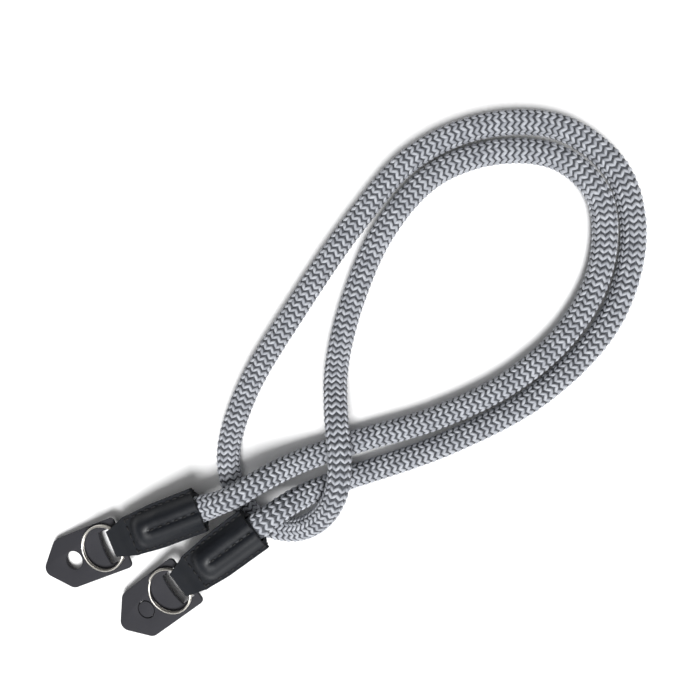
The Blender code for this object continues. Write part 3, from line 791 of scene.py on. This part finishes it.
def nickelMaterial():
    # spring steel wire, nickel plated and barrel polished: bright, a little warm, and finely
    # scratched, with scratches 1.1 mm apart because real ones are too fine to show
    material, tree, shader = newMaterial("nickel plated spring wire", "efebe3", 0.3, Metallic=1.0)
    place = addNode(tree, "ShaderNodeTexCoord").outputs["Object"]
    scratch = addNode(tree, "ShaderNodeTexNoise", {"Scale": 900.0, "Detail": 3.0}, {"Vector": place})
    gloss = addNode(tree, "ShaderNodeMapRange", {"To Min": 0.3, "To Max": 0.5},
                    {"Value": scratch.outputs["Fac"]})
    tree.links.new(gloss.outputs["Result"], shader.inputs["Roughness"])
    return material


nickel = nickelMaterial()
# two turns of wire; the angles are degrees for the step between the turns and to each cut end
splitRing = {"outer": 20.6 * mm, "wire": 0.9 * mm, "coilGap": 0.1 * mm, "stepAngle": 52.0,
             "endClearance": 5.0, "room": 0.3 * mm, "points": 220}


def makeRing(name, lay):
    wire, radius = splitRing["wire"], (splitRing["outer"] - splitRing["wire"]) / 2
    inner = splitRing["outer"] / 2 - wire
    # the ring hangs against the inside of the fold, as far in as its wire can pass
    inside = lay["reach"] + stack["leather"] + splitRing["room"]
    halfChord = sleeve["foldWidth"] / 2 + stack["leather"] / 3 + abs(lay["ringSide"])
    centreX = inside - math.sqrt(inner ** 2 - halfChord ** 2) + lay["ringSlack"]
    first = splitRing["stepAngle"] / 2 + splitRing["endClearance"]
    last = 720.0 - first
    places = []
    for k in range(splitRing["points"] + 1):
        turned = first + (last - first) * k / splitRing["points"]
        step = smoothStep((turned - 360.0) / splitRing["stepAngle"] + 0.5)
        a = math.radians(turned + lay["ringStep"])
        height = stack["ringMiddle"] + (wire + splitRing["coilGap"]) * (step - 0.5)
        places.append((centreX + radius * math.cos(a), lay["ringSide"] + radius * math.sin(a), height))
    line = linesObject("ringWire", [places])
    line.data.bevel_depth = wire / 2
    line.data.bevel_resolution = 5
    line.data.use_fill_caps = True
    mesh = bakedMesh(line, "splitRing" + name)
    bpy.data.objects.remove(line, do_unlink=True)
    mesh.transform(lay["matrix"])
    mesh.shade_smooth()
    mesh.set_sharp_from_angle(angle=math.radians(50))
    mesh.materials.clear()
    return addPiece("splitRing" + name, mesh, [nickel])


stitches = stitchTree()
for letter, lay in ends.items():
    name = letter.upper()
    leatherEnd = makeLeatherEnd(name, lay)
    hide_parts("leather_end_" + letter)
    sewn = makeStitches(name, lay, stitches)
    protector = makeTab(name, lay)
    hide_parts("protector_tab_" + letter)
    ring = makeRing(name, lay)
    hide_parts("split_ring_" + letter)
    for piece, slot in ((leatherEnd, "leather"), (sewn, "leather"), (protector, "tab_leather"),
                        (ring, "ring")):
        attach(piece, "root")
    print("end", name, len(leatherEnd.data.polygons), "leather faces,", len(sewn.data.polygons),
          "in stitches")

# uncoated paper, matt and near white
floorPaper = newMaterial("white backdrop paper", "f4f4f4", 0.9)[0]
# half the floor's side, the wall's light as the object gets it and as the camera sees it, and each
# lamp's place, size in metres and power in watts
studio = {"floor": 0.75, "wall": (0.04, 1.0), "aim": (0.08, 0.07, 0.0),
          "lamps": {"keyLight": ((0.32, -0.86, 1.81), 0.9, 62.0),
                    "overheadPanel": ((0.1, 0.15, 1.9), 1.6, 9.0)}}


def makeStage():
    work = bmesh.new()
    bmesh.ops.create_grid(work, x_segments=1, y_segments=1, size=studio["floor"])
    mesh = bpy.data.meshes.new("floor")
    work.to_mesh(mesh)
    work.free()
    floor = addPiece("floor", mesh, [floorPaper])
    world = bpy.data.worlds.new("studio")
    bpy.context.scene.world = world
    world.use_nodes = True
    sky = world.node_tree.nodes["Background"]
    sky.inputs["Color"].default_value = hexColour("ffffff")
    # the far wall looks white, while only a little light comes back from it
    seen = addNode(world.node_tree, "ShaderNodeLightPath").outputs["Is Camera Ray"]
    strength = addNode(world.node_tree, "ShaderNodeMapRange",
                       {"To Min": studio["wall"][0], "To Max": studio["wall"][1]}, {"Value": seen})
    world.node_tree.links.new(strength.outputs["Result"], sky.inputs["Strength"])
    for name, (place, size, power) in studio["lamps"].items():
        data = bpy.data.lights.new(name, "AREA")
        data.size = size
        data.energy = power
        light = bpy.data.objects.new(name, data)
        light.location = place
        aim = Vector(studio["aim"]) - Vector(place)
        light.rotation_euler = aim.to_track_quat("-Z", "Y").to_euler()
        bpy.context.scene.collection.objects.link(light)


makeStage()
# Standard keeps the paper white and the greys as they are
bpy.context.scene.view_settings.view_transform = "Standard"
print("stage", len(studio["lamps"]), "lamps")
